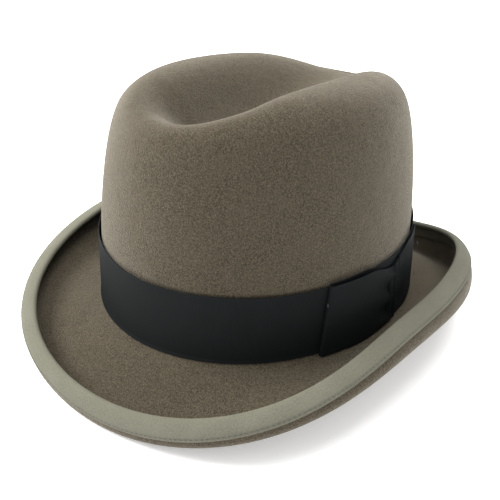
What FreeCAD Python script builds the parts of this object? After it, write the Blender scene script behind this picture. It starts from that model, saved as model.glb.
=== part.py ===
import FreeCAD
import Part
import math
import os

# A homburg hat, standing on its brim. Millimetres, +Z up, front of the hat at -Y, the wearer's left
# (the side with the bow) at +X. The origin is the middle of the hat's bounding box, on the floor.
#
# Soft pieces are smooth closed surfaces. Each is worked out from a net of control points: columns run
# round the hat (column 0 at +X, a quarter of the columns later at the back), rows run from the top of
# the crown down the outside, round the brim's edge and back up the inside.

# Felt. CROWN_TILT lifts the front of the crown and CROWN_ROLL its left side, and CROWN_LEAN moves
# its top back. The top is blocked by hand, so it isn't quite symmetrical.
FELT = 2.2
HALF_WIDTH = 91.5
HALF_LENGTH = 103.0
BREAK_HEIGHT = 30.0
CROWN_HEIGHT = 137.8
SHOULDER_SCALE = 0.86
SHOULDER_DROP = 11.7
DOME_POWER = 7.2
CROWN_TILT = 11.9
CROWN_LEAN = 4.6
CROWN_ROLL = 10.0
CORNER_FULLNESS = -0.034
MIDDLE_Y = 5.5
SIDE_PROFILE = ((0.92, 118.5), (0.96, 101.7), (0.985, 80.4), (1.0, 56.0), (1.0, 40.0), (1.0, 22.0), (1.0, 8.0))
TOP_RINGS = ((0.02, 0.17), (0.055, 0.34), (0.105, 0.48), (0.155, 0.57), (0.21, 0.63), (0.27, 0.67),
             (0.335, 0.70), (0.42, 0.73), (0.52, 0.76), (0.64, 0.79), (0.76, 0.825), (0.86, 0.86))

# Gutter crease along the top of the crown
CREASE_DEPTH = 34.4
CREASE_HALF_WIDTH = 50.0
CREASE_FRONT_HALF_WIDTH = 34.4
CREASE_FRONT = -95.9
CREASE_FRONT_RUN = 50.4
CREASE_BACK = -23.5
CREASE_BACK_RUN = 172.4

# Brim: distance from the crown to the edge, bulge of the curl past the edge, height of the edge and
# height of the lowest stretch, at the front, at the back and at the sides, with what the corners
# between them add. HOLLOW_SIDE is how far the sides dip between the crown and the curl. FOOT is
# where the curve from the crown's wall into the brim begins.
EDGE_OUT_FRONT = 41.4
EDGE_OUT_BACK = 30.5
EDGE_OUT_SIDE = 23.5
EDGE_OUT_FRONT_CORNER = 9.0
EDGE_OUT_BACK_CORNER = 6.7
BULGE_END = 4.6
BULGE_SIDE = 13.1
EDGE_HEIGHT_FRONT = 16.3
EDGE_HEIGHT_BACK = 20.9
EDGE_HEIGHT_SIDE = 49.2
EDGE_HEIGHT_FRONT_CORNER = -0.4
EDGE_HEIGHT_BACK_CORNER = 10.0
DIP_SIDE = 35.4
HOLLOW_SIDE = 4.0
FOOT = 9.0

# Ribbon and trim
RIBBON = 0.8
GAP = 0.2
BINDING_WIDTH = 12.5
BINDING_STITCH_INSET = 1.6
THREAD = 0.6
THREAD_ROW = 1.4
THREAD_GAP = 0.05
BAND_LOW = 1.0
BAND_HIGH = 44.0
FRONT_LOOP_THICK = 2.4
REAR_LOOP_THICK = 3.6
BOW_FRONT_ANGLE = -28.0
BOW_KNOT_ANGLE = 3.5
BOW_REAR_ANGLE = 29.0
KNOT_HALF_ANGLE = 4.2

# Inside of the crown
LEATHER = 1.0
LEATHER_GAP = 1.4
SWEATBAND_LOW = 1.5
SWEATBAND_HIGH = 54.0
REED_RADIUS = 1.1
TAPE = 0.6
TAPE_HIGH = 8.0
LINING = 0.8
LINING_LOW = 34.0
LINING_HIGH = 93.0
LINING_SLACK = 3.0

COLUMNS = 48


def smooth_step(value):
    """Goes from 0 to 1 with level ends as the value goes from 0 to 1."""
    value = min(1.0, max(0.0, value))
    return value * value * (3.0 - 2.0 * value)


# ---- closed surfaces from nets of control points ----

def open_knots(count):
    """Knots and multiplicities of a cubic spline that ends on its first and last control points."""
    spans = count - 3
    return list(range(spans + 1)), [4] + [1] * (spans - 1) + [4]


def closed_knots(count):
    """Knots and multiplicities of a cubic spline that closes on itself."""
    return list(range(count + 1)), [1] * (count + 1)


def solid_from_net(net, rows_close):
    """Solid inside a surface whose columns close round, and whose rows close or end in points."""
    column_knots, column_mults = closed_knots(len(net))
    row_knots, row_mults = closed_knots(len(net[0])) if rows_close else open_knots(len(net[0]))
    surface = Part.BSplineSurface()
    surface.buildFromPolesMultsKnots(
        net, column_mults, row_mults, column_knots, row_knots, True, rows_close, 3, 3)
    solid = Part.Solid(Part.Shell([surface.toShape()]))
    if solid.Volume < 0:
        solid.reverse()
    return solid


def ring_solid(loops):
    """Ring round the hat: one closed section for each column."""
    return solid_from_net(tightened(loops), True)


def pod_solid(loops):
    """Closed cushion along a row of sections: the two ends are drawn in to points."""
    first = centre(loops[0])
    last = centre(loops[-1])
    size = len(loops[0])
    stations = [[first] * size] + loops + [[last] * size]
    return solid_from_net([[station[k] for station in stations] for k in range(size)], False)


def centre(points):
    """Mean of a list of points."""
    total = FreeCAD.Vector(0, 0, 0)
    for point in points:
        total = total + point
    return total * (1.0 / len(points))


def tightened(loops):
    """Moves the control points out a little, so that the spline round the hat passes through them."""
    count = len(loops)
    result = []
    for i in range(count):
        before, here, after = loops[i - 1], loops[i], loops[(i + 1) % count]
        result.append([q * (4.0 / 3.0) - (p + r) * (1.0 / 6.0) for p, q, r in zip(before, here, after)])
    return result


# ---- felt hood ----

def crease_depth(x, y):
    """How far the gutter lies below the dome of the crown at a place seen from above."""
    front = smooth_step((y - CREASE_FRONT) / CREASE_FRONT_RUN)
    back = 1.0 - smooth_step((y - CREASE_BACK) / CREASE_BACK_RUN)
    half_width = CREASE_FRONT_HALF_WIDTH + (CREASE_HALF_WIDTH - CREASE_FRONT_HALF_WIDTH) * front
    across = min(1.0, abs(x) / half_width)
    return CREASE_DEPTH * front * back * 0.5 * (1.0 + math.cos(math.pi * across))


def brim_sizes(angle):
    """Edge distance, bulge, edge height and lowest height of the brim at one angle round the hat."""
    ends = math.sin(angle) ** 2
    front = max(0.0, -math.sin(angle)) ** 2
    back = ends - front
    corner = math.sin(2.0 * angle) ** 2
    front_corner = corner if math.sin(angle) < 0 else 0.0
    back_corner = corner - front_corner
    out = EDGE_OUT_SIDE * (1.0 - ends) + EDGE_OUT_FRONT * front + EDGE_OUT_BACK * back
    out += EDGE_OUT_FRONT_CORNER * front_corner + EDGE_OUT_BACK_CORNER * back_corner
    bulge = BULGE_SIDE * (1.0 - ends) + BULGE_END * ends
    edge = EDGE_HEIGHT_SIDE * (1.0 - ends) + EDGE_HEIGHT_FRONT * front + EDGE_HEIGHT_BACK * back
    edge += EDGE_HEIGHT_FRONT_CORNER * front_corner + EDGE_HEIGHT_BACK_CORNER * back_corner
    low = DIP_SIDE * (1.0 - ends)
    return out, bulge, edge, low


def brim_section(angle):
    """Control points of the middle of the felt from the break to the edge: distance out and height."""
    out, bulge, edge, low = brim_sizes(angle)
    hollow = HOLLOW_SIDE * math.cos(angle) ** 2
    half = FELT / 2.0
    low += half
    far = out + bulge - half
    return (
        (-half, BREAK_HEIGHT + 1.0),
        (4.0 - half, BREAK_HEIGHT - 1.0 - hollow / 3.0),
        (0.45 * far, 0.4 * BREAK_HEIGHT + 0.6 * low - hollow),
        (0.78 * far, low + 0.9),
        (0.99 * far, low - 1.5),
        (far + 1.0, low + 0.42 * (edge - low)),
        (out + 0.75 * bulge - half, edge - 3.0),
        (out, edge),
    )


def crown_point(x, y, height, angle):
    """Point of the crown, moved by the crown's lean, its tilt and the shape of its corners."""
    rise = (height / CROWN_HEIGHT) ** 2
    fuller = 1.0 + CORNER_FULLNESS * rise * math.sin(2.0 * angle) ** 2
    x *= fuller
    y *= fuller
    drop = (CROWN_TILT * y / HALF_LENGTH - CROWN_ROLL * x / HALF_WIDTH) * rise
    return FreeCAD.Vector(x, y + CROWN_LEAN * rise, BREAK_HEIGHT + height - drop)


def side_point(scale, height, angle):
    """Point of the middle of the felt on an oval ring of the crown's side."""
    x = (HALF_WIDTH * scale - FELT / 2.0) * math.cos(angle)
    y = (HALF_LENGTH * scale - FELT / 2.0) * math.sin(angle)
    return crown_point(x, y, height, angle)


def top_point(wide, long, angle):
    """Point of the middle of the felt on the crown's top, with the gutter pressed in."""
    x = HALF_WIDTH * wide * math.cos(angle)
    y = HALF_LENGTH * long * math.sin(angle)
    spread = math.hypot(x / HALF_WIDTH, y / HALF_LENGTH) / SHOULDER_SCALE
    height = CROWN_HEIGHT - SHOULDER_DROP * spread ** DOME_POWER
    point = crown_point(x, y, height, angle)
    return point - FreeCAD.Vector(0, 0, FELT / 2.0 + crease_depth(point.x, point.y))


def oval_direction(angle):
    """Level direction that points straight out of the head oval at one angle."""
    direction = FreeCAD.Vector(math.cos(angle) / HALF_WIDTH, math.sin(angle) / HALF_LENGTH, 0)
    return direction.normalize()


def middle_column(column):
    """Points of the middle of the felt for one column, from near the crown's centre to the edge."""
    angle = 2.0 * math.pi * column / COLUMNS
    points = [top_point(wide, long, angle) for wide, long in TOP_RINGS]
    points += [side_point(scale, height, angle) for scale, height in SIDE_PROFILE]
    foot = FreeCAD.Vector(HALF_WIDTH * math.cos(angle), HALF_LENGTH * math.sin(angle), 0)
    for out, height in brim_section(angle):
        points.append(foot + oval_direction(angle) * out + FreeCAD.Vector(0, 0, height))
    return [point + FreeCAD.Vector(0, MIDDLE_Y, 0) for point in points]


def felt_net():
    """Net of the whole felt body: outer face, edge of the brim and inner face."""
    middle = [middle_column(column) for column in range(COLUMNS)]
    top = FreeCAD.Vector(0, MIDDLE_Y + CROWN_LEAN, top_point(0, 0, 0).z)
    up = FreeCAD.Vector(0, 0, FELT / 2.0)
    last = len(middle[0]) - 1
    net = []
    for i in range(COLUMNS):
        before, here, after = middle[i - 1], middle[i], middle[(i + 1) % COLUMNS]
        outer = [top + up]
        inner = [top - up]
        for j in range(last + 1):
            inward = here[j - 1] if j > 0 else top
            down = here[min(j + 1, last)] - inward
            normal = down.cross(after[j] - before[j]).normalize() * (FELT / 2.0)
            outer.append(here[j] + normal)
            inner.append(here[j] - normal)
        edge = here[last] + (here[last] - here[last - 1]).normalize() * (FELT / 2.0)
        net.append(outer + [edge] + inner[::-1])
    return tightened(net)


FELT_NET = felt_net()
FELT_ROWS = len(FELT_NET[0])
EDGE_ROW = FELT_ROWS // 2
TOP_ROW = len(TOP_RINGS)
BREAK_ROW = TOP_ROW + len(SIDE_PROFILE) + 1


def spline_weights(t):
    """Weights of the four control points that share one span of an even cubic spline."""
    return (
        (1.0 - t) ** 3 / 6.0,
        (3.0 * t ** 3 - 6.0 * t ** 2 + 4.0) / 6.0,
        (-3.0 * t ** 3 + 3.0 * t ** 2 + 3.0 * t + 1.0) / 6.0,
        t ** 3 / 6.0,
    )


def felt_point(column, row):
    """Point on the felt's surface, by column and row of its net."""
    first_column = math.floor(column)
    first_row = math.floor(row)
    point = FreeCAD.Vector(0, 0, 0)
    row_weights = spline_weights(row - first_row)
    for i, column_weight in enumerate(spline_weights(column - first_column)):
        poles = FELT_NET[(first_column - 1 + i) % COLUMNS]
        for j, row_weight in enumerate(row_weights):
            point = point + poles[first_row - 1 + j] * (column_weight * row_weight)
    return point


def felt_offset(column, row, distance):
    """Point that stands a given distance off the felt's surface, away from the felt."""
    step = 0.05
    down = felt_point(column, row + step) - felt_point(column, row - step)
    round_hat = felt_point(column + step, row) - felt_point(column - step, row)
    return felt_point(column, row) + down.cross(round_hat).normalize() * distance


def row_at_height(column, height, inside):
    """Row of the crown's outer or inner face at a height above the break."""
    high, low = float(TOP_ROW), BREAK_ROW + 1.0
    if inside:
        high, low = FELT_ROWS - 1 - high, FELT_ROWS - 1 - low
    for _ in range(24):
        middle = 0.5 * (high + low)
        if felt_point(column, middle).z > BREAK_HEIGHT + height:
            high = middle
        else:
            low = middle
    return 0.5 * (high + low)


def row_at_distance(column, distance):
    """Row that lies a given way along the felt from the brim's edge: outer face if it is negative."""
    row = float(EDGE_ROW)
    step = math.copysign(0.02, distance)
    covered = 0.0
    point = felt_point(column, row)
    while covered < abs(distance):
        row += step
        following = felt_point(column, row)
        covered += (following - point).Length
        point = following
    return row


def on_crown(column, height, distance, inside=False):
    """Point off the crown's wall, level with a height above the break, also where the wall has ended."""
    wall = felt_point(column, row_at_height(column, max(height, FOOT), inside))
    wall.z = BREAK_HEIGHT + height
    side = -1.0 if inside else 1.0
    return wall + oval_direction(2.0 * math.pi * column / COLUMNS) * (side * distance)


def foot_flare(column, height):
    """How far the curve from the wall into the brim stands out from the wall at a height."""
    curve = felt_point(column, row_at_height(column, height, False))
    out = oval_direction(2.0 * math.pi * column / COLUMNS)
    return max(0.0, (curve - on_crown(column, height, 0.0)).dot(out))


def column_of(degrees):
    """Column at an angle round the hat, counted from the middle of the bow side."""
    return degrees / 360.0 * COLUMNS


# ---- rings and pads made from sections ----

STRIP_SHARES = (0.0, 0.02, 0.15, 0.4, 0.6, 0.85, 0.98, 1.0)


def strip_loop(column, low, high, near, far, inside=False):
    """Section of a strip that lies on the crown: between two heights and two distances."""
    inner_edge = []
    outer_edge = []
    for share in STRIP_SHARES:
        height = low + share * (high - low)
        lift = 0.0 if inside else max(0.0, foot_flare(column, height) + GAP - near)
        inner_edge.append(on_crown(column, height, near + lift, inside))
        outer_edge.append(on_crown(column, height, far + lift, inside))
    return inner_edge + outer_edge[::-1]


def strip_ring(low, high, near, thickness, inside=False):
    """Strip all the way round the crown."""
    return ring_solid([
        strip_loop(column, low, high, near, near + thickness, inside) for column in range(COLUMNS)])


def felt_loop(column, rows, near, far):
    """Section of a strip that follows the felt through some rows: between two distances off the felt."""
    loop = [felt_offset(column, row, near) for row in rows]
    return loop + [felt_offset(column, row, far) for row in reversed(rows)]


def pad(sections, inside=False):
    """Cushion on the crown: each section is an angle, a low and a high edge, a near and a far side."""
    return pod_solid([
        strip_loop(column_of(degrees), low, high, near, far, inside)
        for degrees, low, high, near, far in sections])


def tack(degrees, height, distance, inside=False):
    """Short stitch of thread that stands off the surface."""
    column = column_of(degrees)
    lower = on_crown(column, height - 1.0, distance, inside)
    upper = on_crown(column, height + 1.0, distance, inside)
    return Part.makeCylinder(THREAD / 2.0, (upper - lower).Length, lower, upper - lower)


# ---- the nodes ----

def felt_hood():
    """Crown and brim, blocked from one piece of felt."""
    return solid_from_net(FELT_NET, False)


def brim_binding():
    """Ribbon folded over the brim's edge."""
    loops = []
    for column in range(COLUMNS):
        outer = row_at_distance(column, -BINDING_WIDTH)
        inner = row_at_distance(column, BINDING_WIDTH)
        rows = [outer + (EDGE_ROW - outer) * share for share in (0.0, 0.03, 0.3, 0.6, 0.85)]
        rows += [EDGE_ROW + (inner - EDGE_ROW) * share for share in (0.0, 0.15, 0.4, 0.7, 0.97, 1.0)]
        loops.append(felt_loop(column, rows, GAP, GAP + RIBBON))
    return ring_solid(loops)


def binding_stitching():
    """The two rows of thread along the edges of the binding, each a low flat ridge."""
    near = GAP + RIBBON + THREAD_GAP
    inset = BINDING_WIDTH - BINDING_STITCH_INSET
    rings = []
    for side in (-1, 1):
        loops = []
        for column in range(COLUMNS):
            first = row_at_distance(column, side * (inset - THREAD_ROW / 2.0))
            last = row_at_distance(column, side * (inset + THREAD_ROW / 2.0))
            rows = [first + (last - first) * share for share in (0.0, 0.1, 0.5, 0.9, 1.0)]
            loops.append(felt_loop(column, sorted(rows), near, near + THREAD))
        rings.append(ring_solid(loops))
    return Part.makeCompound(rings)


def hat_band():
    """Ribbon round the foot of the crown."""
    return strip_ring(BAND_LOW, BAND_HIGH, GAP, RIBBON)


BAND_FACE = GAP + RIBBON
BOW_FACE = BAND_FACE + GAP


def band_tacks():
    """Small tacks that hold the band's upper edge to the felt."""
    reach = BAND_FACE + THREAD / 2.0 + THREAD_GAP
    return Part.makeCompound([tack(degrees, BAND_HIGH - 2.5, reach) for degrees in (60, 120, 180, 240, 300)])


def bow_loop(start, end, low, high, thick):
    """Flat loop of ribbon from its fold to the knot, pinched where it goes under the knot."""
    sections = []
    for share, size, drop in ((0.0, 1.0, 0.0), (0.04, 1.0, 0.0), (0.35, 1.1, 0.0), (0.7, 1.0, 1.0),
                              (0.9, 0.75, 3.0), (1.0, 0.7, 5.0)):
        degrees = start + (end - start) * share
        sections.append((degrees, low + drop, high - drop, BOW_FACE, BOW_FACE + thick * size))
    return pad(sections)


def bow_front_loop():
    """Long loop that points to the front."""
    return bow_loop(BOW_FRONT_ANGLE, BOW_KNOT_ANGLE - 0.4, BAND_LOW - 0.3, BAND_HIGH, FRONT_LOOP_THICK)


def bow_rear_loop():
    """Short, fuller loop that points to the back."""
    return bow_loop(BOW_REAR_ANGLE, BOW_KNOT_ANGLE + 0.4, BAND_LOW - 0.3, BAND_HIGH, REAR_LOOP_THICK)


def bow_knot():
    """Gathered wrap between the loops."""
    near = BOW_FACE + 0.85 * REAR_LOOP_THICK + GAP
    far = near + 2.6
    low = BAND_LOW - 2.0
    sections = []
    for share in (-1.0, -0.8, 0.0, 0.8, 1.0):
        degrees = BOW_KNOT_ANGLE + KNOT_HALF_ANGLE * share
        sections.append((degrees, low, BAND_HIGH, near, far - 0.8 * share * share))
    return pad(sections)


def bow_tacks():
    """Tacks near the folds of the two loops."""
    front = (BOW_FRONT_ANGLE + 3.0, BOW_FACE + 1.1 * FRONT_LOOP_THICK + THREAD)
    rear = (BOW_REAR_ANGLE - 3.0, BOW_FACE + 1.1 * REAR_LOOP_THICK + THREAD)
    return Part.makeCompound([
        tack(degrees, height, reach) for degrees, reach in (front, rear) for height in (12.0, 34.0)])


def sweatband():
    """Leather strip inside the foot of the crown."""
    return strip_ring(SWEATBAND_LOW, SWEATBAND_HIGH, LEATHER_GAP, LEATHER, inside=True)


SWEATBAND_FACE = LEATHER_GAP + LEATHER


def sweatband_seam():
    """Zigzag of thread over the butt joint at the back."""
    stitches = []
    count = 12
    reach = SWEATBAND_FACE + THREAD / 2.0 + THREAD_GAP
    for k in range(count):
        height = SWEATBAND_LOW + 4.0 + k * (SWEATBAND_HIGH - SWEATBAND_LOW - 8.0) / count
        side = 0.9 if k % 2 else -0.9
        start = on_crown(column_of(90.0 - side), height, reach, True)
        end = on_crown(column_of(90.0 + side), height + 3.0, reach, True)
        stitches.append(Part.makeCylinder(THREAD / 2.0, (end - start).Length, start, end - start))
    return Part.makeCompound(stitches)


def sweatband_reed():
    """Round reed under the lower edge of the leather."""
    loops = []
    for column in range(COLUMNS):
        edge = on_crown(column, SWEATBAND_LOW, LEATHER_GAP + LEATHER / 2.0, True)
        out = oval_direction(2.0 * math.pi * column / COLUMNS) * REED_RADIUS
        up = FreeCAD.Vector(0, 0, REED_RADIUS)
        middle = edge - up - FreeCAD.Vector(0, 0, GAP)
        turns = [2.0 * math.pi * k / 8 for k in range(8)]
        loops.append([middle + out * math.cos(turn) + up * math.sin(turn) for turn in turns])
    return ring_solid(loops)


def reed_tape():
    """Tape between the leather and the felt, sewn to both."""
    return strip_ring(SWEATBAND_LOW, TAPE_HIGH, GAP, TAPE, inside=True)


def sweatband_stitching():
    """Row of thread that joins the leather to the tape, as a low flat ridge."""
    low = SWEATBAND_LOW + 1.5
    return strip_ring(low, low + THREAD_ROW, SWEATBAND_FACE + THREAD_GAP, THREAD, inside=True)


def sweatband_bow():
    """Small ribbon bow over the joint at the inner back: two loops and their knot."""
    near = SWEATBAND_FACE + 1.2
    low, high = SWEATBAND_LOW + 5.0, SWEATBAND_LOW + 12.0
    pieces = []
    for side in (-1.0, 1.0):
        sections = []
        for degrees, pinch in ((7.0, 0.0), (6.0, 0.0), (3.5, 0.8), (1.6, 2.0)):
            sections.append((90.0 + side * degrees, low + pinch, high - pinch, near, near + 1.6))
        pieces.append(pad(sections, True))
    knot = [(90.0 + degrees, low + 1.0, high - 1.0, near, near + 2.2) for degrees in (-1.1, -0.8, 0.0, 0.8, 1.1)]
    pieces.append(pad(knot, True))
    return Part.makeCompound(pieces)


def lining_gap(height):
    """How far the lining hangs off the felt: flat behind the leather, slack higher up."""
    return 0.4 + LINING_SLACK * smooth_step((height - SWEATBAND_HIGH) / (LINING_HIGH - SWEATBAND_HIGH))


def lining_side():
    """Satin wall of the lining."""
    loops = []
    heights = [LINING_LOW + share * (LINING_HIGH - LINING_LOW) for share in STRIP_SHARES]
    for column in range(COLUMNS):
        loop = [on_crown(column, height, lining_gap(height), True) for height in heights]
        loop += [on_crown(column, height, lining_gap(height) + LINING, True) for height in reversed(heights)]
        loops.append(loop)
    return ring_solid(loops)


def lining_tip():
    """Satin oval that closes the lining at the top."""
    rings = []
    middle = FreeCAD.Vector(0, MIDDLE_Y + CROWN_LEAN * (LINING_HIGH / CROWN_HEIGHT) ** 2, 0)
    level = BREAK_HEIGHT + LINING_HIGH + 1.5
    for column in range(COLUMNS):
        edge = on_crown(column, LINING_HIGH, lining_gap(LINING_HIGH) + LINING + 0.6, True)
        out = FreeCAD.Vector(edge.x, edge.y, 0) - middle
        upper = [middle + out * share + FreeCAD.Vector(0, 0, level) for share in (0.15, 0.5, 0.85, 1.0)]
        lower = [point - FreeCAD.Vector(0, 0, LINING) for point in reversed(upper)]
        top = middle + FreeCAD.Vector(0, 0, level)
        rings.append([top] + upper + lower + [top - FreeCAD.Vector(0, 0, LINING)])
    return solid_from_net(tightened(rings), False)


def size_label():
    """Small blank label on the leather, beside the joint."""
    near = SWEATBAND_FACE + 0.15
    sections = [(degrees, 30.0, 42.0, near, near + 0.6) for degrees in (98.0, 98.4, 102.0, 105.6, 106.0)]
    return pad(sections, True)


NODES = (
    felt_hood, brim_binding, binding_stitching, hat_band, band_tacks, bow_front_loop, bow_rear_loop,
    bow_knot, bow_tacks, sweatband, sweatband_seam, sweatband_reed, reed_tape, sweatband_stitching,
    sweatband_bow, lining_side, lining_tip, size_label,
)

os.makedirs("parts", exist_ok=True)
for node in NODES:
    node().exportStep("parts/" + node.__name__ + ".step")
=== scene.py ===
import math

import bmesh
import bpy
import numpy as np
from mathutils import Matrix, Vector


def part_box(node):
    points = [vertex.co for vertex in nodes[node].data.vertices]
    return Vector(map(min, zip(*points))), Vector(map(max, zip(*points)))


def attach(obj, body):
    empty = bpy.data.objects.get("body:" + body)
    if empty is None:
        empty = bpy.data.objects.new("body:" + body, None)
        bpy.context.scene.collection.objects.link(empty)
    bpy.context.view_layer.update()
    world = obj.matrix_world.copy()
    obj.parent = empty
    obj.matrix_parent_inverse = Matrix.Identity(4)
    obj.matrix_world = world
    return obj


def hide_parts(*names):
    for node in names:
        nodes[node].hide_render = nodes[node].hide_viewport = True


# A homburg hat on a pale floor. Metres, +Z up, front at -Y, the bow at +X.

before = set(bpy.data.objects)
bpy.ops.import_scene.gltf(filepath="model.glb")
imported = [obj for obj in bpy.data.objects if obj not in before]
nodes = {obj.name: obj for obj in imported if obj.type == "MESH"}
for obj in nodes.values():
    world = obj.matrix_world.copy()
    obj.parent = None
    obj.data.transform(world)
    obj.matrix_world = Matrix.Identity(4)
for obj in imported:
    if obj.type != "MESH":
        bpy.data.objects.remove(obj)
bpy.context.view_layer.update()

# ---- sizes: the CAD model's driving dimensions, in metres ----

# Felt. CROWN_TILT lifts the front of the crown and CROWN_ROLL its left side, and CROWN_LEAN moves
# its top back. SIDE_PROFILE and TOP_RINGS hold shares of the head oval, with heights on the side.
FELT = 0.0022
HALF_WIDTH = 0.0915
HALF_LENGTH = 0.103
BREAK_HEIGHT = 0.030
CROWN_HEIGHT = 0.1378
SHOULDER_SCALE = 0.86
SHOULDER_DROP = 0.0117
DOME_POWER = 7.2
CROWN_TILT = 0.0119
CROWN_LEAN = 0.0046
CROWN_ROLL = 0.01
CORNER_FULLNESS = -0.034
MIDDLE_Y = 0.0055
SIDE_PROFILE = ((0.92, 0.1185), (0.96, 0.1017), (0.985, 0.0804), (1.0, 0.056), (1.0, 0.040), (1.0, 0.022),
                (1.0, 0.008))
TOP_RINGS = ((0.02, 0.17), (0.055, 0.34), (0.105, 0.48), (0.155, 0.57), (0.21, 0.63), (0.27, 0.67),
             (0.335, 0.70), (0.42, 0.73), (0.52, 0.76), (0.64, 0.79), (0.76, 0.825), (0.86, 0.86))
# Lengthwise crease in the crown's top
CREASE_DEPTH = 0.0344
CREASE_HALF_WIDTH = 0.05
CREASE_FRONT_HALF_WIDTH = 0.0344
CREASE_FRONT = -0.0959
CREASE_FRONT_RUN = 0.0504
CREASE_BACK = -0.0235
CREASE_BACK_RUN = 0.1724
# Brim: how far out and how high its edge lies, with what the corners add, the bulge of the curl past
# the edge, and how far the sides dip. FOOT is where the curve from the crown's wall begins.
EDGE_OUT_FRONT = 0.0414
EDGE_OUT_BACK = 0.0305
EDGE_OUT_SIDE = 0.0235
EDGE_OUT_FRONT_CORNER = 0.009
EDGE_OUT_BACK_CORNER = 0.0067
BULGE_END = 0.0046
BULGE_SIDE = 0.0131
EDGE_HEIGHT_FRONT = 0.0163
EDGE_HEIGHT_BACK = 0.0209
EDGE_HEIGHT_SIDE = 0.0492
EDGE_HEIGHT_FRONT_CORNER = -0.0004
EDGE_HEIGHT_BACK_CORNER = 0.01
DIP_SIDE = 0.0354
HOLLOW_SIDE = 0.004
FOOT = 0.009

# Ribbons, leather and lining
RIBBON = 0.0008
GAP = 0.0002
BINDING_WIDTH = 0.0125
STITCH_INSET = 0.0016
BAND_LOW = 0.001
BAND_HIGH = 0.044
BAND_FACE = GAP + RIBBON
SWEATBAND_LOW = 0.0015
SWEATBAND_HIGH = 0.054
LEATHER = 0.001
LEATHER_GAP = 0.0014
SWEATBAND_FACE = LEATHER_GAP + LEATHER
LINING_LOW = 0.034
LINING_HIGH = 0.093
LINING_SLACK = 0.003
LINING_CLOTH = 0.0006

COLUMNS = 48

# ---- sizes that only the cloth seen here has ----

# Bow: a fold leans from the first angle at the band's low edge to the second at its high edge.
LOOP_RIBBON = 0.0006
FRONT_FOLD = (-26.4, -23.8)
FRONT_FULLNESS = 0.0026
REAR_FOLD = (29.0, 27.5)
REAR_FULLNESS = 0.0016
KNOT_MIDDLE = 5.5
KNOT_HALF = 3.3
KNOT_ROLL = 0.0016
KNOT_LIFT = 0.0014
KNOT_FULLNESS = 0.0026
PINCH_DROP = 0.0075

# Small bow over the sweatband's joint, at the middle of the back
BACK = 90.0
SMALL_RIBBON_THICKNESS = 0.0003
SMALL_BOW_HALF = 0.0032
SMALL_BOW_HEIGHT = SWEATBAND_LOW + 0.0085

# Threads: distance from stitch to stitch, length of a stitch and radius of the thread
BINDING_STITCH = (0.0030, 0.0022, 0.00022)
LEATHER_STITCH = (0.0028, 0.0020, 0.0002)
ZIGZAG_POINTS = 24
ZIGZAG_HALF = 0.9
ZIGZAG_THREAD = 0.00028


def smooth_step(value):
    """Goes from 0 to 1 with level ends as the value goes from 0 to 1."""
    value = np.clip(value, 0.0, 1.0)
    return value * value * (3.0 - 2.0 * value)


def unit(vectors):
    """Vectors of length one."""
    return vectors / np.maximum(np.linalg.norm(vectors, axis=-1, keepdims=True), 1e-12)


def steps(start, end, count):
    """Even values from start to end."""
    return np.linspace(start, end, count)


# ---- the felt's surface: a closed spline surface from a net of control points ----

def crease_depth(x, y):
    """How far the gutter lies below the dome of the crown."""
    front = smooth_step((y - CREASE_FRONT) / CREASE_FRONT_RUN)
    back = 1.0 - smooth_step((y - CREASE_BACK) / CREASE_BACK_RUN)
    half_width = CREASE_FRONT_HALF_WIDTH + (CREASE_HALF_WIDTH - CREASE_FRONT_HALF_WIDTH) * front
    across = np.minimum(1.0, np.abs(x) / half_width)
    return CREASE_DEPTH * front * back * 0.5 * (1.0 + np.cos(np.pi * across))


def crown_ring(x, y, height, angles):
    """Ring of points on the crown, with its lean, its tilt and its fuller corners."""
    rise = (height / CROWN_HEIGHT) ** 2
    fuller = 1.0 + CORNER_FULLNESS * rise * np.sin(2 * angles) ** 2
    x = x * fuller
    y = y * fuller
    tilt = (CROWN_TILT * y / HALF_LENGTH - CROWN_ROLL * x / HALF_WIDTH) * rise
    return np.stack([x, y + CROWN_LEAN * rise, BREAK_HEIGHT + height - tilt], -1)


def top_ring(wide, long, angles):
    """Ring of points on the crown's top."""
    x = HALF_WIDTH * wide * np.cos(angles)
    y = HALF_LENGTH * long * np.sin(angles)
    spread = np.hypot(x / HALF_WIDTH, y / HALF_LENGTH) / SHOULDER_SCALE
    height = CROWN_HEIGHT - SHOULDER_DROP * spread ** DOME_POWER
    ring = crown_ring(x, y, height, angles)
    ring[:, 2] -= FELT / 2 + crease_depth(ring[:, 0], ring[:, 1])
    return ring


def side_ring(scale, height, angles):
    """Ring of points on the crown's side."""
    x = (HALF_WIDTH * scale - FELT / 2) * np.cos(angles)
    y = (HALF_LENGTH * scale - FELT / 2) * np.sin(angles)
    return crown_ring(x, y, height, angles)


def oval_direction(angles):
    """Level directions that point straight out of the head oval."""
    flat = np.stack([np.cos(angles) / HALF_WIDTH, np.sin(angles) / HALF_LENGTH, 0 * angles], -1)
    return unit(flat)


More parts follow.
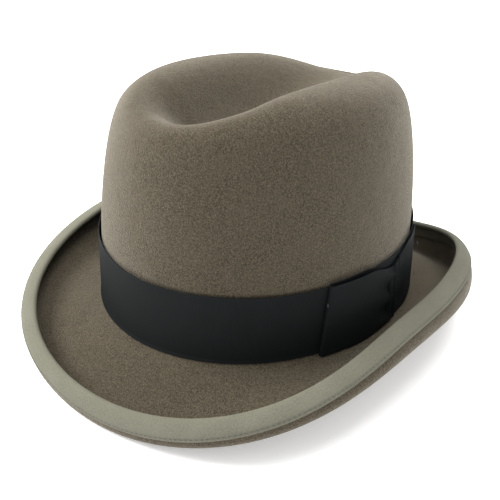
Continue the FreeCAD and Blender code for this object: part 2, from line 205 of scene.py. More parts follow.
def brim_rings(angles):
    """Rings of points on the brim, from the break to the edge."""
    ends = np.sin(angles) ** 2
    front = np.maximum(0.0, -np.sin(angles)) ** 2
    back = ends - front
    corner = np.sin(2 * angles) ** 2
    front_corner = np.where(np.sin(angles) < 0, corner, 0.0)
    back_corner = corner - front_corner
    out = EDGE_OUT_SIDE * (1 - ends) + EDGE_OUT_FRONT * front + EDGE_OUT_BACK * back
    out = out + EDGE_OUT_FRONT_CORNER * front_corner + EDGE_OUT_BACK_CORNER * back_corner
    bulge = BULGE_SIDE * (1 - ends) + BULGE_END * ends
    edge = EDGE_HEIGHT_SIDE * (1 - ends) + EDGE_HEIGHT_FRONT * front + EDGE_HEIGHT_BACK * back
    edge = edge + EDGE_HEIGHT_FRONT_CORNER * front_corner + EDGE_HEIGHT_BACK_CORNER * back_corner
    half = FELT / 2
    low = DIP_SIDE * (1 - ends) + half
    hollow = HOLLOW_SIDE * (1 - ends)
    far = out + bulge - half
    section = (
        (-half + 0 * far, BREAK_HEIGHT + 0.001 + 0 * far),
        (0.004 - half + 0 * far, BREAK_HEIGHT - 0.001 - hollow / 3),
        (0.45 * far, 0.4 * BREAK_HEIGHT + 0.6 * low - hollow),
        (0.78 * far, low + 0.0009),
        (0.99 * far, low - 0.0015),
        (far + 0.001, low + 0.42 * (edge - low)),
        (out + 0.75 * bulge - half, edge - 0.003),
        (out, edge),
    )
    foot = np.stack([HALF_WIDTH * np.cos(angles), HALF_LENGTH * np.sin(angles), 0 * angles], -1)
    up = np.array([0.0, 0.0, 1.0])
    return [foot + oval_direction(angles) * s[:, None] + up * z[:, None] for s, z in section]


def tightened(net):
    """Moves the control points out a little, so that the spline round the hat passes through them."""
    return net * (4 / 3) - (np.roll(net, 1, 0) + np.roll(net, -1, 0)) / 6


def felt_net():
    """Control points of the whole felt body: outer face, edge of the brim and inner face."""
    angles = 2 * np.pi * np.arange(COLUMNS) / COLUMNS
    rings = [top_ring(wide, long, angles) for wide, long in TOP_RINGS]
    rings += [side_ring(scale, height, angles) for scale, height in SIDE_PROFILE]
    rings += brim_rings(angles)
    middle = np.stack(rings, 1) + np.array([0, MIDDLE_Y, 0])
    top = top_ring(0.0, 0.0, np.zeros(1))[0]
    top = np.array([0, MIDDLE_Y + CROWN_LEAN, top[2]])
    tops = np.broadcast_to(top, (COLUMNS, 1, 3))
    inward = np.concatenate([tops, middle[:, :-1]], 1)
    outward = np.concatenate([middle[:, 1:], middle[:, -1:]], 1)
    round_hat = np.roll(middle, -1, 0) - np.roll(middle, 1, 0)
    normals = unit(np.cross(outward - inward, round_hat)) * (FELT / 2)
    edge = middle[:, -1:] + unit(middle[:, -1:] - middle[:, -2:-1]) * (FELT / 2)
    up = np.array([0, 0, FELT / 2])
    inner = (middle - normals)[:, ::-1]
    return tightened(np.concatenate([tops + up, middle + normals, edge, inner, tops - up], 1))


def even_weights(count, places, closed):
    """Weights of the control points at places along an even cubic spline, counted in control points."""
    first = np.floor(places).astype(int)
    t = places - first
    four = ((1 - t) ** 3, 3 * t ** 3 - 6 * t ** 2 + 4, -3 * t ** 3 + 3 * t ** 2 + 3 * t + 1, t ** 3)
    table = np.zeros((len(places), count))
    for k, weight in enumerate(four):
        index = (first - 1 + k) % count if closed else np.clip(first - 1 + k, 0, count - 1)
        table[np.arange(len(places)), index] += weight / 6
    return table


NET = felt_net()
ROWS = NET.shape[1]
EDGE_ROW = ROWS // 2
TOP_ROW = len(TOP_RINGS)
BREAK_ROW = TOP_ROW + len(SIDE_PROFILE) + 1


def felt_points(columns, rows):
    """Points on the felt for every column with every row, counted in the net's control points."""
    round_hat = even_weights(COLUMNS, np.asarray(columns, float), True)
    down = even_weights(ROWS, np.asarray(rows, float), False)
    return down @ np.tensordot(round_hat, NET, 1)


def felt_normals(columns, rows):
    """Directions away from the felt for every column with every row."""
    columns, rows, d = np.asarray(columns, float), np.asarray(rows, float), 0.02
    down = felt_points(columns, rows + d) - felt_points(columns, rows - d)
    round_hat = felt_points(columns + d, rows) - felt_points(columns - d, rows)
    return unit(np.cross(down, round_hat))


def columns_of(degrees):
    """Columns at angles round the hat, counted from the middle of the bow side."""
    return np.asarray(degrees, float) / 360 * COLUMNS


def curves_at_heights(columns, heights, inside):
    """Points of the crown's outer or inner face, level with heights above the break."""
    rows = steps(TOP_ROW, BREAK_ROW + 1.0, 160)
    lines = felt_points(columns, ROWS - 1 - rows if inside else rows)
    result = np.zeros(heights.shape + (3,))
    for i, line in enumerate(lines):
        z = line[::-1, 2] - BREAK_HEIGHT
        for axis in range(2):
            result[i, :, axis] = np.interp(heights[i], z, line[::-1, axis])
    result[..., 2] = BREAK_HEIGHT + heights
    return result


def on_crown(columns, heights, distances, inside=False):
    """Points off the crown's wall; heights and distances have one row for each column."""
    columns = np.asarray(columns, float)
    heights = np.broadcast_to(heights, (len(columns),) + np.shape(heights)[-1:])
    wall = curves_at_heights(columns, np.maximum(heights, FOOT), inside)
    wall[..., 2] = BREAK_HEIGHT + heights
    out = oval_direction(2 * np.pi * columns / COLUMNS)[:, None, :]
    lift = distances
    if not inside:
        curve = curves_at_heights(columns, heights, False)
        flare = np.maximum(0.0, ((curve - wall) * out).sum(-1))
        lift = distances + np.maximum(0.0, flare + GAP - np.min(distances))
        lift = np.maximum(lift, flare + GAP)
    side = -1.0 if inside else 1.0
    return wall + out * (side * np.broadcast_to(lift, heights.shape))[..., None]


def crown_grid(degrees, heights, lifts, inside=False):
    """Points off the crown's wall for grids of angles, heights and lifts."""
    degrees, heights, lifts = np.broadcast_arrays(degrees, heights, lifts)
    grid = np.zeros(degrees.shape + (3,))
    for j in range(degrees.shape[1]):
        columns = columns_of(degrees[:, j])
        grid[:, j] = on_crown(columns, heights[:, j:j + 1], lifts[:, j:j + 1], inside)[:, 0]
    return grid


def edge_strip(columns, distances):
    """Points and directions on the felt at distances from the brim's edge: the outer face below 0."""
    rows = steps(EDGE_ROW - 6, EDGE_ROW + 6, 241)
    points = felt_points(columns, rows)
    normals = felt_normals(columns, rows)
    covered = np.concatenate([np.zeros((len(columns), 1)),
                              np.linalg.norm(np.diff(points, axis=1), axis=2).cumsum(1)], 1)
    covered -= covered[:, 120:121]
    spots = np.zeros((len(columns), len(distances), 3))
    ways = np.zeros_like(spots)
    for i in range(len(columns)):
        for axis in range(3):
            spots[i, :, axis] = np.interp(distances, covered[i], points[i, :, axis])
            ways[i, :, axis] = np.interp(distances, covered[i], normals[i, :, axis])
    return spots, unit(ways)


# ---- meshes ----

def make_object(name, vertices, faces, uvs, material):
    """Smooth mesh object from vertices, faces and one place on the cloth for each vertex."""
    mesh = bpy.data.meshes.new(name)
    mesh.from_pydata(vertices.tolist(), [], faces)
    layer = mesh.uv_layers.new(name="cloth")
    corner_vertex = np.zeros(len(mesh.loops), int)
    mesh.loops.foreach_get("vertex_index", corner_vertex)
    layer.data.foreach_set("uv", uvs[corner_vertex].ravel())
    mesh.shade_smooth()
    mesh.materials.append(material)
    piece = bpy.data.objects.new(name, mesh)
    bpy.context.scene.collection.objects.link(piece)
    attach(piece, "root")
    return piece


def grid_faces(rows, columns, rows_close, columns_close):
    """Faces of a grid of vertices numbered row by row."""
    faces = []
    for i in range(rows if rows_close else rows - 1):
        below = (i + 1) % rows
        for j in range(columns if columns_close else columns - 1):
            right = (j + 1) % columns
            faces.append((i * columns + j, below * columns + j, below * columns + right,
                          i * columns + right))
    return faces


def lengths(points, axis):
    """Mean distance covered along one axis of a grid of points."""
    pieces = np.linalg.norm(np.diff(points, axis=axis), axis=2).mean(1 - axis)
    return np.concatenate([[0.0], np.cumsum(pieces)])


def sheet_mesh(name, front, thickness, material, closed=False):
    """Cloth with a face on each side and closed edges, from a grid of points on its front."""
    rows, columns = front.shape[:2]
    if closed:
        along = np.roll(front, -1, 0) - np.roll(front, 1, 0)
    else:
        along = np.gradient(front, axis=0)
    normals = unit(np.cross(np.gradient(front, axis=1), along))
    back = front - normals * thickness
    inset = min(thickness * 0.35, 0.0003)
    loop = np.concatenate([front, back[:, ::-1]], 1)
    across = lengths(front, 1)
    if closed:
        loop = np.concatenate([loop, loop[:1]])
        rows += 1
    uv_across = np.concatenate([across, across[::-1]])
    uvs = np.stack(np.meshgrid(lengths(loop[:, :columns], 0), uv_across, indexing="ij"), -1).reshape(-1, 2)
    faces = grid_faces(rows, 2 * columns, False, True)
    if not closed:
        faces.append(tuple(range(2 * columns))[::-1])
        faces.append(tuple((rows - 1) * 2 * columns + k for k in range(2 * columns)))
    piece = make_object(name, loop.reshape(-1, 3), faces, uvs, material)
    finish_mesh(piece, inset)
    return piece


def finish_mesh(piece, bevel=0.0):
    """Joins doubled points and turns every face outwards."""
    shape = bmesh.new()
    shape.from_mesh(piece.data)
    bmesh.ops.remove_doubles(shape, verts=shape.verts, dist=1e-6)
    bmesh.ops.recalc_face_normals(shape, faces=shape.faces)
    shape.to_mesh(piece.data)
    shape.free()
    if bevel:
        rounding = piece.modifiers.new("edges", "BEVEL")
        rounding.width = bevel
        rounding.segments = 2
        rounding.limit_method = "ANGLE"
        rounding.angle_limit = math.radians(50)


def stitch_row(name, places, ways, stitch, material, closed=True):
    """Row of thread stitches along a line of places; ways point away from the cloth."""
    pitch, length, radius = stitch
    run = np.concatenate([[0.0], np.linalg.norm(np.diff(places, axis=0), axis=1).cumsum()])
    count = int(run[-1] / pitch)
    vertices, faces, uvs = [], [], []
    sides, rings = 6, 7
    for k in range(count):
        spots = (k + 0.5) * run[-1] / count + steps(-0.5, 0.5, rings) * length
        if not closed and (spots[0] < 0 or spots[-1] > run[-1]):
            continue
        line = np.stack([np.interp(spots, run, places[:, axis]) for axis in range(3)], -1)
        out = unit(np.stack([np.interp(spots, run, ways[:, axis]) for axis in range(3)], -1))
        along = unit(np.gradient(line, axis=0))
        across = np.cross(along, out)
        share = steps(-1, 1, rings)[:, None]
        size = radius * np.sqrt(np.maximum(0.04, 1 - share ** 4))
        line = line + out * (radius * (0.5 - 0.9 * share ** 4))
        start = len(vertices)
        for i in range(rings):
            for turn in 2 * np.pi * np.arange(sides) / sides:
                vertices.append(line[i] + (out[i] * np.sin(turn) + across[i] * np.cos(turn)) * size[i])
                uvs.append((spots[i], turn * radius))
        faces += [tuple(start + index for index in face) for face in grid_faces(rings, sides, False, True)]
        faces.append(tuple(start + index for index in range(sides))[::-1])
        faces.append(tuple(start + (rings - 1) * sides + index for index in range(sides)))
    piece = make_object(name, np.array(vertices), faces, np.array(uvs), material)
    finish_mesh(piece)
    return piece


# ---- materials ----

class Cloth:
    """Builds one node material."""

    def __init__(self, name):
        self.material = bpy.data.materials.new(name)
        self.material.use_nodes = True
        self.tree = self.material.node_tree
        self.shader = self.tree.nodes["Principled BSDF"]

    def node(self, kind, **settings):
        """New node with its settings."""
        made = self.tree.nodes.new(kind)
        for key, value in settings.items():
            setattr(made, key, value)
        return made

    def link(self, source, target):
        """Joins an output to an input."""
        self.tree.links.new(source, target)

    def set(self, **values):
        """Sets plain numbers and colours on the shader's own sockets."""
        for key, value in values.items():
            self.shader.inputs[key.replace("_", " ")].default_value = value

    def place(self):
        """A point's own place on the object, in metres."""
        return self.node("ShaderNodeTexCoord").outputs["Object"]

    def cloth_place(self):
        """A point's place on the flat cloth: metres along it and across it."""
        return self.node("ShaderNodeUVMap", uv_map="cloth").outputs["UV"]

    def noise(self, scale, detail=2.0, roughness=0.5, place=None):
        """Noise whose grains are about 1 / scale across."""
        made = self.node("ShaderNodeTexNoise")
        made.inputs["Scale"].default_value = scale
        made.inputs["Detail"].default_value = detail
        made.inputs["Roughness"].default_value = roughness
        self.link(place or self.place(), made.inputs["Vector"])
        return made.outputs["Fac"]

    def stretched(self, place, sizes):
        """A place scaled by a different number along each axis."""
        made = self.node("ShaderNodeMapping")
        made.inputs["Scale"].default_value = sizes
        self.link(place, made.inputs["Vector"])
        return made.outputs["Vector"]

    def range(self, value, low, high, to_low, to_high):
        """Value carried from one range to another and kept inside it."""
        made = self.node("ShaderNodeMapRange")
        for index, number in zip((1, 2, 3, 4), (low, high, to_low, to_high)):
            made.inputs[index].default_value = number
        self.link(value, made.inputs[0])
        return made.outputs[0]

    def math(self, operation, first, second=None):
        """Result of a sum; each value is a number or a socket."""
        made = self.node("ShaderNodeMath", operation=operation)
        for socket, value in zip(made.inputs, (first, second)):
            if isinstance(value, (int, float)):
                socket.default_value = value
            elif value is not None:
                self.link(value, socket)
        return made.outputs[0]

    def mix(self, share, first, second):
        """Mixes two colours; each is a colour or a socket."""
        made = self.node("ShaderNodeMix", data_type="RGBA")
        for socket, value in zip((made.inputs[0], made.inputs[6], made.inputs[7]), (share, first, second)):
            if isinstance(value, (tuple, float)):
                socket.default_value = value
            else:
                self.link(value, socket)
        return made.outputs[2]

    def colour(self, socket):
        """Takes the base colour from a socket."""
        self.link(socket, self.shader.inputs["Base Color"])

    def bumps(self, *layers):
        """Bump from pairs of height and depth in metres."""
        last = None
        for height, depth in layers:
            made = self.node("ShaderNodeBump")
            made.inputs["Strength"].default_value = 1.0
            made.inputs["Distance"].default_value = depth
            self.link(height, made.inputs["Height"])
            if last is not None:
                self.link(last, made.inputs["Normal"])
            last = made.outputs["Normal"]
        self.link(last, self.shader.inputs["Normal"])


def felt_material():
    """Fur felt: short nap with fine speckles, slow changes of tone and a soft lighter bloom."""
    m = Cloth("fur_felt")
    fine = m.noise(2200, 2.0, 0.7)
    nap = m.noise(1100, 3.0, 0.65)
    cloud = m.noise(55, 3.0, 0.55)
    tone = m.mix(m.range(nap, 0.37, 0.63, 0, 1), (0.026, 0.021, 0.0135, 1), (0.080, 0.066, 0.045, 1))
    tone = m.mix(m.range(cloud, 0.35, 0.65, 0.0, 0.30), tone, (0.066, 0.055, 0.038, 1))
    tone = m.mix(m.range(fine, 0.54, 0.70, 0.0, 0.55), tone, (0.150, 0.128, 0.095, 1))
    m.colour(tone)
    m.set(Roughness=0.95, Specular_IOR_Level=0.12, Sheen_Weight=0.42, Sheen_Roughness=0.32,
          Sheen_Tint=(1.0, 0.93, 0.80, 1))
    m.bumps((cloud, 0.0006), (nap, 0.0004), (fine, 0.00015))
    return m.material


def grosgrain_material(name, dark, light, pitch, rib_depth, sheen):
    """Ribbed ribbon: fine ribs across its width, small changes of tone from rib to rib, and painted shade
    darkening the grooves between ribs.
    """
    m = Cloth(name)
    cloth = m.cloth_place()
    parts = m.node("ShaderNodeSeparateXYZ")
    m.link(cloth, parts.inputs[0])
    rib = m.math("SINE", m.math("MULTIPLY", parts.outputs["X"], 2 * math.pi / pitch))
    rib_height = m.range(rib, -1, 1, 0, 1)
    yarn = m.noise(1.0, 3.0, 0.6, m.stretched(cloth, (1.0 / pitch, 900, 1)))
    patch = m.noise(70, 2.0, 0.5)
    tone = m.mix(m.range(yarn, 0.3, 0.7, 0, 1), dark, light)
    # painted shade: the grooves between ribs are mixed towards a darker copy of the dark colour, following
    # the rib height
    tone = m.mix(m.range(rib_height, 0, 0.5, 0.45, 0), tone, tuple(0.45 * c for c in dark[:3]) + (1,))
    tone = m.mix(m.range(patch, 0.4, 0.7, 0, 0.25), tone, light)
    m.colour(tone)
    m.link(m.range(yarn, 0.2, 0.8, 0.65, 0.85), m.shader.inputs["Roughness"])
    m.set(Specular_IOR_Level=0.12, Sheen_Weight=sheen, Sheen_Roughness=0.35, Sheen_Tint=light)
    m.bumps((patch, 0.0002), (rib_height, rib_depth), (yarn, rib_depth * 0.15))
    return m.material


def leather_material():
    """Sweatband leather: fine grain, darker towards wear, soft gloss."""
    m = Cloth("sweatband_leather")
    cells = m.node("ShaderNodeTexVoronoi", feature="DISTANCE_TO_EDGE")
    cells.inputs["Scale"].default_value = 900
    m.link(m.place(), cells.inputs["Vector"])
    grain = m.range(cells.outputs["Distance"], 0.0, 0.25, 0, 1)
    cloud = m.noise(40, 4.0, 0.6)
    tone = m.mix(m.range(cloud, 0.3, 0.7, 0, 1), (0.110, 0.050, 0.024, 1), (0.200, 0.100, 0.050, 1))
    tone = m.mix(m.range(grain, 0, 1, 0.35, 0), tone, (0.06, 0.028, 0.014, 1))
    m.colour(tone)
    m.link(m.range(cloud, 0.3, 0.7, 0.42, 0.58), m.shader.inputs["Roughness"])
    m.set(Specular_IOR_Level=0.4)
    m.bumps((cloud, 0.0003), (grain, 0.00012))
    return m.material


def satin_material():
    """Lining satin: smooth weave with a soft directional gloss."""
    m = Cloth("lining_satin")
    weave = m.noise(1.0, 2.0, 0.5, m.stretched(m.cloth_place(), (4000, 500, 1)))
    cloud = m.noise(30, 3.0, 0.5)
    tone = m.mix(m.range(cloud, 0.3, 0.7, 0, 1), (0.270, 0.215, 0.135, 1), (0.360, 0.295, 0.195, 1))
    tone = m.mix(m.range(weave, 0.3, 0.7, 0.15, 0), tone, (0.16, 0.12, 0.07, 1))
    m.colour(tone)
    m.set(Roughness=0.36, Specular_IOR_Level=0.5, Sheen_Weight=0.3, Sheen_Roughness=0.3)
    m.bumps((cloud, 0.0008), (weave, 0.00004))
    return m.material


def thread_material(name, colour):
    """Spun thread with a fine twist."""
    m = Cloth(name)
    twist = m.noise(1.0, 2.0, 0.5, m.stretched(m.cloth_place(), (2500, 5000, 1)))
    dark = tuple(0.55 * c for c in colour[:3]) + (1,)
    m.colour(m.mix(m.range(twist, 0.35, 0.65, 0, 1), dark, colour))
    m.set(Roughness=0.7, Sheen_Weight=0.3)
    m.bumps((twist, 0.0001))
    return m.material


def plain_material(name, dark, light, scale, roughness, depth):
    """Plain stuff with a fine grain."""
    m = Cloth(name)
    grain = m.noise(scale, 3.0, 0.6)
    m.colour(m.mix(m.range(grain, 0.35, 0.65, 0, 1), dark, light))
    m.set(Roughness=roughness)
    m.bumps((grain, depth))
    return m.material


FELT_CLOTH = felt_material()
BAND_CLOTH = grosgrain_material("black_grosgrain", (0.0028, 0.0036, 0.0039, 1), (0.0060, 0.0080, 0.0086, 1),
                                0.00062, 0.00012, 0.02)
BINDING_CLOTH = grosgrain_material("edge_grosgrain", (0.110, 0.107, 0.080, 1), (0.172, 0.168, 0.130, 1),
                                   0.00062, 0.00016, 0.25)
LEATHER_SKIN = leather_material()
SATIN = satin_material()
BINDING_THREAD = thread_material("binding_thread", (0.055, 0.052, 0.040, 1))
BLACK_THREAD = thread_material("black_thread", (0.012, 0.012, 0.012, 1))
LEATHER_THREAD = thread_material("leather_thread", (0.35, 0.25, 0.15, 1))
SMALL_RIBBON = grosgrain_material("small_bow_ribbon", (0.020, 0.016, 0.012, 1), (0.045, 0.038, 0.030, 1),
                                  0.0005, 0.0001, 0.2)
REED_PLASTIC = plain_material("reed_plastic", (0.48, 0.43, 0.33, 1), (0.58, 0.53, 0.42, 1), 300, 0.4, 0.00005)
TAPE_CLOTH = plain_material("reed_tape", (0.035, 0.032, 0.028, 1), (0.06, 0.055, 0.05, 1), 1800, 0.85, 0.0001)
LABEL_CLOTH = plain_material("label_paper", (0.66, 0.63, 0.55, 1), (0.74, 0.71, 0.63, 1), 900, 0.8, 0.00005)


# ---- pieces ----

def felt_hood():
    """Crown and brim from one body of felt."""
    columns = steps(0, COLUMNS, 6 * COLUMNS + 1)[:-1]
    rows = steps(0, ROWS - 1, 4 * (ROWS - 1) + 1)
    points = felt_points(columns, rows)
    uvs = np.stack(np.meshgrid(columns / COLUMNS, rows / ROWS, indexing="ij"), -1).reshape(-1, 2)
    faces = grid_faces(len(columns), len(rows), True, False)
    piece = make_object("felt_body", points.reshape(-1, 3), faces, uvs, FELT_CLOTH)
    finish_mesh(piece)
    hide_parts("felt_hood")


def brim_binding():
    """Ribbon folded over the brim's edge and sewn down along both of its edges."""
    columns = steps(0, COLUMNS, 16 * COLUMNS + 1)[:-1]
    distances = steps(-BINDING_WIDTH, BINDING_WIDTH, 73)
    points, ways = edge_strip(columns, distances)
    inset = BINDING_WIDTH - np.abs(distances)
    sewn = np.exp(-((inset - STITCH_INSET) / 0.0006) ** 2)
    lift = GAP + RIBBON * (0.55 + 0.45 * smooth_step(inset / 0.0012)) - 0.00025 * sewn
    run = np.arange(len(columns)) / len(columns) * 2 * np.pi
    puckers = np.sin(run * 270)[:, None] * 0.00005 * smooth_step(1 - inset / 0.004)
    front = points + ways * (lift + puckers)[..., None]
    piece = sheet_mesh("edge_ribbon", front, RIBBON * 0.55, BINDING_CLOTH, closed=True)
    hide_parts("brim_binding")


def binding_stitching():
    """The two rows of stitches near the ribbon's edges."""
    columns = steps(0, COLUMNS, 12 * COLUMNS + 1)
    inset = BINDING_WIDTH - STITCH_INSET
    for side, name in ((-1, "outer_edge_stitches"), (1, "inner_edge_stitches")):
        places, ways = edge_strip(columns, np.array([side * inset]))
        places = places[:, 0] + ways[:, 0] * (GAP + RIBBON - 0.0002)
        piece = stitch_row(name, places, ways[:, 0], BINDING_STITCH, BINDING_THREAD)
        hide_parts("binding_stitching")


def hat_band():
    """Ribbon round the foot of the crown."""
    columns = steps(0, COLUMNS, 10 * COLUMNS + 1)[:-1]
    heights = steps(BAND_LOW, BAND_HIGH, 31)
    turn = 2 * np.pi * columns / COLUMNS
    share = (heights - BAND_LOW) / (BAND_HIGH - BAND_LOW)
    ripple = 0.00012 * np.sin(5 * turn + 1.0)[:, None] * np.sin(np.pi * share)
    ripple = ripple + 0.00022 * (np.sin(7 * turn)[:, None] + 1) * share ** 6
    front = on_crown(columns, heights, BAND_FACE + ripple)
    piece = sheet_mesh("band_ribbon", front, RIBBON * 0.8, BAND_CLOTH, closed=True)
    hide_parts("hat_band")


def bow_loop(name, node, folds, fullness, direction):
    """Flat loop of ribbon: out along the band, round its fold, and back to the pinch under the knot."""
    share = steps(0, 1, 29)
    inner = steps(0, 1, 16)[:-1]
    turn = steps(-np.pi / 2, np.pi / 2, 13)
    outer = steps(0, 1, 46)[1:]
    reach = np.concatenate([inner, 1 + 0 * turn, 1 - outer])[:, None]
    bend = np.concatenate([0 * inner, np.cos(turn), 0 * outer])[:, None]
    outside = np.concatenate([0 * inner, 0.5 + 0.5 * np.sin(turn), 1 + 0 * outer])[:, None]
    start = KNOT_MIDDLE + 0.4 * direction
    rounding = direction * math.degrees(fullness / 2 / HALF_WIDTH)
    fold = folds[0] + (folds[1] - folds[0]) * share
    degrees = start + (fold - rounding - start) * reach + rounding * bend
    pinch = smooth_step((0.5 - reach) / 0.5)
    heights = BAND_LOW - 0.0006 + (BAND_HIGH + 0.0020 - BAND_LOW) * share
    heights = heights + (0.0012 * (1 - share) - PINCH_DROP * share) * pinch
    sag = 0.0006 * np.sin(np.pi * reach) ** 2 * outside
    pleats = 0.0013 * np.sin(2 * np.pi * (2.5 * share + 0.1)) * pinch ** 1.5 * outside
    lifts = BAND_FACE + GAP + LOOP_RIBBON + fullness * outside * (1 - 0.35 * pinch) + sag + pleats
    grid = crown_grid(degrees, heights, lifts)
    piece = sheet_mesh(name, grid, LOOP_RIBBON, BAND_CLOTH)
    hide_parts(node)


def bow_knot():
    """Gathered ribbon wrapped over the pinch, from behind its top edge to behind its bottom edge."""
    across = steps(-1, 1, 41)
    turn = steps(0, np.pi, 9)
    down = steps(0, 1, 36)[1:-1]
    share = np.concatenate([1 + 0 * turn, 1 - down, 0 * turn])[:, None]
    edge = np.concatenate([np.sin(turn), 0 * down, -np.sin(turn)])[:, None]
    front = np.concatenate([0.5 - 0.5 * np.cos(turn), 1 + 0 * down, 0.5 + 0.5 * np.cos(turn)])[:, None]
    low = BAND_LOW + 0.0004
    high = BAND_HIGH - PINCH_DROP * (0.80 - 0.45 * across)
    heights = low + KNOT_ROLL + (high - low - 2 * KNOT_ROLL) * share + KNOT_ROLL * edge
    degrees = KNOT_MIDDLE + (KNOT_HALF + (2 * share - 1) ** 2) * across
    gathers = 0.0006 * np.sin(8.2 * across + 0.6 + 1.1 * share)
    fullness = KNOT_FULLNESS + 0.0005 * np.sin(np.pi * share) + gathers
    lifts = BAND_FACE + KNOT_LIFT + (fullness - 0.0024 * np.abs(across) ** 3.5) * front
    grid = crown_grid(degrees, heights, lifts)[:, ::-1]
    piece = sheet_mesh("bow_wrap", grid, LOOP_RIBBON, BAND_CLOTH)
    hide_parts("bow_knot")


def sweatband():
    """Leather strip with its ends butted at the back."""
    columns = columns_of(steps(90.15, 449.85, 361))
    heights = steps(SWEATBAND_LOW, SWEATBAND_HIGH, 21)
    turn = 2 * np.pi * columns / COLUMNS
    share = (heights - SWEATBAND_LOW) / (SWEATBAND_HIGH - SWEATBAND_LOW)
    ease = (0.0003 + 0.00025 * np.sin(6 * turn))[:, None] * share ** 3
    front = on_crown(columns, heights, SWEATBAND_FACE + ease, inside=True)[::-1]
    piece = sheet_mesh("sweatband_leather", front, LEATHER * 0.9, LEATHER_SKIN)
    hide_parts("sweatband")


def lining_side():
    """Satin wall of the lining, eased into small gathers at its upper edge."""
    columns = steps(0, COLUMNS, 15 * COLUMNS + 1)[:-1]
    heights = steps(LINING_LOW, LINING_HIGH, 31)
    turn = 2 * np.pi * columns / COLUMNS
    share = smooth_step((heights - SWEATBAND_HIGH) / (LINING_HIGH - SWEATBAND_HIGH))
    gathers = 0.0005 * np.sin(52 * turn + 2 * np.sin(7 * turn))[:, None] * share
    distance = 0.0012 + LINING_SLACK * share + gathers
    front = on_crown(columns, heights, distance, inside=True)[::-1]
    piece = sheet_mesh("lining_wall", front, LINING_CLOTH, SATIN, closed=True)
    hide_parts("lining_side")


def lining_tip():
    """Satin oval sewn to the top of the wall, slightly slack."""
    columns = steps(0, COLUMNS, 6 * COLUMNS + 1)[:-1]
    edge = on_crown(columns, np.array([LINING_HIGH]), LINING_SLACK + 0.0014, inside=True)[:, 0]
    low, high = (np.array(corner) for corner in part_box("lining_tip"))
    middle = (low + high) / 2
    rings = steps(0, 1, 25)
    flat = edge.copy()
    flat[:, 2] = middle[2]
    points = middle + (flat - middle)[:, None, :] * rings[None, :, None]
    turn = 2 * np.pi * columns / COLUMNS
    points[..., 2] += 0.0006 * np.sin(5 * np.pi * rings) * (1 - rings) - 0.0012 * rings ** 8
    points[..., 2] += 0.0003 * np.sin(40 * turn)[:, None] * smooth_step((rings - 0.75) / 0.25)
    vertices = points.reshape(-1, 3)
    uvs = vertices[:, :2].copy()
    faces = grid_faces(len(columns), len(rings), True, False)
    piece = make_object("lining_top", vertices, faces, uvs, SATIN)
    finish_mesh(piece)
    solid = piece.modifiers.new("thickness", "SOLIDIFY")
    solid.thickness = LINING_CLOTH
    solid.offset = 0.0
    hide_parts("lining_tip")


def sweatband_bow():
    """Small ribbon bow over the joint at the inner back."""
    near = SWEATBAND_FACE + 0.0012
    for side, name in ((-1, "small_bow_left"), (1, "small_bow_right")):
        run = steps(0, 1, 33)[:, None]
        turn = 2 * np.pi * run
        degrees = BACK + side * (1.0 + 2.9 * (1 - np.cos(turn)))
        lifts = near + 0.0009 + 0.0008 * np.sin(turn) * np.sin(np.pi * run)
        spread = SMALL_BOW_HALF * (0.45 + 0.55 * np.sin(np.pi * run) ** 0.7)
        grid = crown_grid(degrees, SMALL_BOW_HEIGHT + spread * steps(-1, 1, 9), lifts, inside=True)
        piece = sheet_mesh(name, grid, SMALL_RIBBON_THICKNESS, SMALL_RIBBON)
        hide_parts("sweatband_bow")
    wrap = steps(0, 2 * np.pi, 25)[:, None]
    across = steps(-1, 1, 9)
    heights = SMALL_BOW_HEIGHT + 0.0022 * np.cos(wrap)
    lifts = near + 0.0011 + 0.0010 * np.sin(wrap) + 0.0001 * np.cos(9 * across)
    grid = crown_grid(BACK + 1.1 * across, heights, lifts, inside=True)
    piece = sheet_mesh("small_bow_knot", grid, SMALL_RIBBON_THICKNESS, SMALL_RIBBON)
    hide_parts("sweatband_bow")


def size_label():
    """Small blank label on the leather."""
    columns = columns_of(steps(98.3, 105.7, 17))
    heights = steps(0.0305, 0.0415, 13)
    lift = SWEATBAND_FACE + 0.00065 + 0.0002 * np.sin(steps(0, np.pi, 17))[:, None]
    front = on_crown(columns, heights, lift, inside=True)[::-1]
    piece = sheet_mesh("blank_label", front, 0.00025, LABEL_CLOTH)
    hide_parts("size_label")


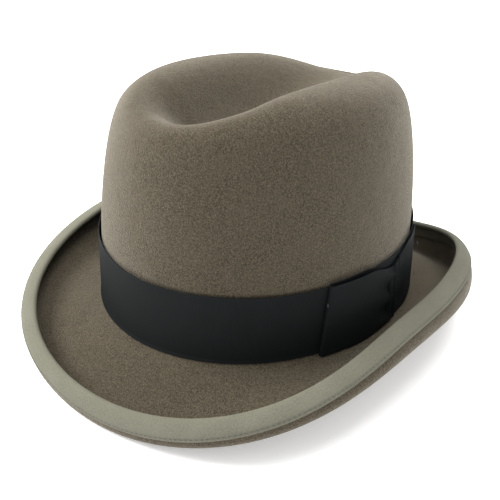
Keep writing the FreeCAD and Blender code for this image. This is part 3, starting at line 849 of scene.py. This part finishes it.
def sweatband_threads():
    """Zigzag over the butt joint, and the row that joins the leather to its tape."""
    heights = steps(SWEATBAND_LOW + 0.003, SWEATBAND_HIGH - 0.003, ZIGZAG_POINTS)
    degrees = BACK + ZIGZAG_HALF * (-1.0) ** np.arange(ZIGZAG_POINTS)
    places = on_crown(columns_of(degrees), heights[:, None], SWEATBAND_FACE + 0.0004, inside=True)[:, 0]
    out = -oval_direction(np.radians(degrees))
    vertices, faces, uvs = [], [], []
    sides, rings = 6, 7
    for k in range(ZIGZAG_POINTS - 1):
        start, end = places[k], places[k + 1]
        along = unit(end - start)
        across = np.cross(along, out[k])
        first = len(vertices)
        for share in steps(0, 1, rings):
            size = ZIGZAG_THREAD * math.sqrt(max(0.1, 1 - (2 * share - 1) ** 6))
            dip = out[k] * (0.0002 * (1 - (2 * share - 1) ** 4) - 0.0002)
            for turn in 2 * np.pi * np.arange(sides) / sides:
                ring = (out[k] * np.sin(turn) + across * np.cos(turn)) * size
                vertices.append(start + (end - start) * share + dip + ring)
                uvs.append((share * 0.003, turn * 0.0003))
        faces += [tuple(first + index for index in face) for face in grid_faces(rings, sides, False, True)]
        faces.append(tuple(first + index for index in range(sides))[::-1])
        faces.append(tuple(first + (rings - 1) * sides + index for index in range(sides)))
    piece = make_object("joint_zigzag", np.array(vertices), faces, np.array(uvs), LEATHER_THREAD)
    finish_mesh(piece)
    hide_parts("sweatband_seam")
    columns = columns_of(steps(91, 449, 400))
    line = on_crown(columns, np.array([SWEATBAND_LOW + 0.0022]), SWEATBAND_FACE, inside=True)[:, 0]
    ways = -oval_direction(2 * np.pi * columns / COLUMNS)
    row = stitch_row("leather_stitches", line, ways, LEATHER_STITCH, LEATHER_THREAD,
                     closed=False)
    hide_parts("sweatband_stitching")


def kept_nodes():
    """CAD nodes whose shape is right keep it and take a finish."""
    for name, material in (("sweatband_reed", REED_PLASTIC), ("reed_tape", TAPE_CLOTH),
                           ("band_tacks", BLACK_THREAD), ("bow_tacks", BLACK_THREAD)):
        node = nodes[name]
        node.data.materials.clear()
        node.data.materials.append(material)
        node.data.shade_smooth()


felt_hood()
brim_binding()
binding_stitching()
hat_band()
bow_loop("front_loop_ribbon", "bow_front_loop", FRONT_FOLD, FRONT_FULLNESS, -1)
bow_loop("rear_loop_ribbon", "bow_rear_loop", REAR_FOLD, REAR_FULLNESS, 1)
bow_knot()
sweatband()
lining_side()
lining_tip()
sweatband_bow()
size_label()
sweatband_threads()
kept_nodes()


# ---- stage, light and camera ----

FLOOR_HALF = 6.0
LIGHT_TARGET = (0, 0, 0.08)
CAMERA_AZIMUTH = 38.92
CAMERA_ELEVATION = 28.57
CAMERA_ROLL = 0.98
CAMERA_DISTANCE = 0.650
CAMERA_TARGET_HEIGHT = 0.0695
CAMERA_LENS = 74.6
CAMERA_SENSOR = 36
CAMERA_SHIFT = (-0.0163, -0.0631)


def studio_floor():
    """Large flat pale floor with a faint glow of its own, which keeps the shadow soft and narrow."""
    mesh = bpy.data.meshes.new("studio_floor")
    corners = [(x * FLOOR_HALF, y * FLOOR_HALF, 0) for x, y in ((-1, -1), (1, -1), (1, 1), (-1, 1))]
    mesh.from_pydata(corners, [], [(0, 1, 2, 3)])
    floor = bpy.data.objects.new("studio_floor", mesh)
    bpy.context.scene.collection.objects.link(floor)
    paper = Cloth("pale_floor")
    paper.set(Base_Color=(0.93, 0.93, 0.93, 1), Roughness=0.9, Specular_IOR_Level=0.1,
              Emission_Color=(1, 1, 1, 1), Emission_Strength=0.32)
    mesh.materials.append(paper.material)


def area_light(name, place, target, size, power, colour):
    """Square soft light at a place, facing a target."""
    data = bpy.data.lights.new(name, "AREA")
    data.shape = "SQUARE"
    data.size = size
    data.energy = power
    data.color = colour
    lamp = bpy.data.objects.new(name, data)
    lamp.location = place
    lamp.rotation_euler = (Vector(target) - Vector(place)).to_track_quat("-Z", "Y").to_euler()
    bpy.context.scene.collection.objects.link(lamp)


def studio_light():
    """White surround with one soft box on the hat's right and one above it."""
    world = bpy.data.worlds.new("studio")
    world.use_nodes = True
    background = world.node_tree.nodes["Background"]
    background.inputs["Color"].default_value = (1.0, 1.0, 1.0, 1)
    background.inputs["Strength"].default_value = 1.0
    bpy.context.scene.world = world
    area_light("side_box", (-1.2, -0.7, 1.2), LIGHT_TARGET, 1.0, 52, (1.0, 0.99, 0.97))
    area_light("top_box", (0.0, 0.5, 1.9), LIGHT_TARGET, 1.6, 42, (1.0, 1.0, 1.0))


def studio_camera():
    """Camera in front of the hat's left side, looking down at it."""
    azimuth = math.radians(CAMERA_AZIMUTH)
    elevation = math.radians(CAMERA_ELEVATION)
    roll = math.radians(CAMERA_ROLL)
    target = Vector((0, MIDDLE_Y, CAMERA_TARGET_HEIGHT))
    back = Vector((math.sin(azimuth) * math.cos(elevation), -math.cos(azimuth) * math.cos(elevation),
                   math.sin(elevation)))
    level = Vector((math.cos(azimuth), math.sin(azimuth), 0))
    up = back.cross(level)
    right = level * math.cos(roll) + up * math.sin(roll)
    up = up * math.cos(roll) - level * math.sin(roll)
    data = bpy.data.cameras.new("camera")
    data.lens = CAMERA_LENS
    data.sensor_width = CAMERA_SENSOR
    data.shift_x, data.shift_y = CAMERA_SHIFT
    camera = bpy.data.objects.new("camera", data)
    camera.matrix_world = Matrix.Translation(target + back * CAMERA_DISTANCE) @ Matrix(
        (right, up, back)).transposed().to_4x4()
    bpy.context.scene.collection.objects.link(camera)
    bpy.context.scene.camera = camera


studio_floor()
studio_light()
studio_camera()
bpy.context.scene.view_settings.view_transform = "Standard"

bpy.context.view_layer.update()
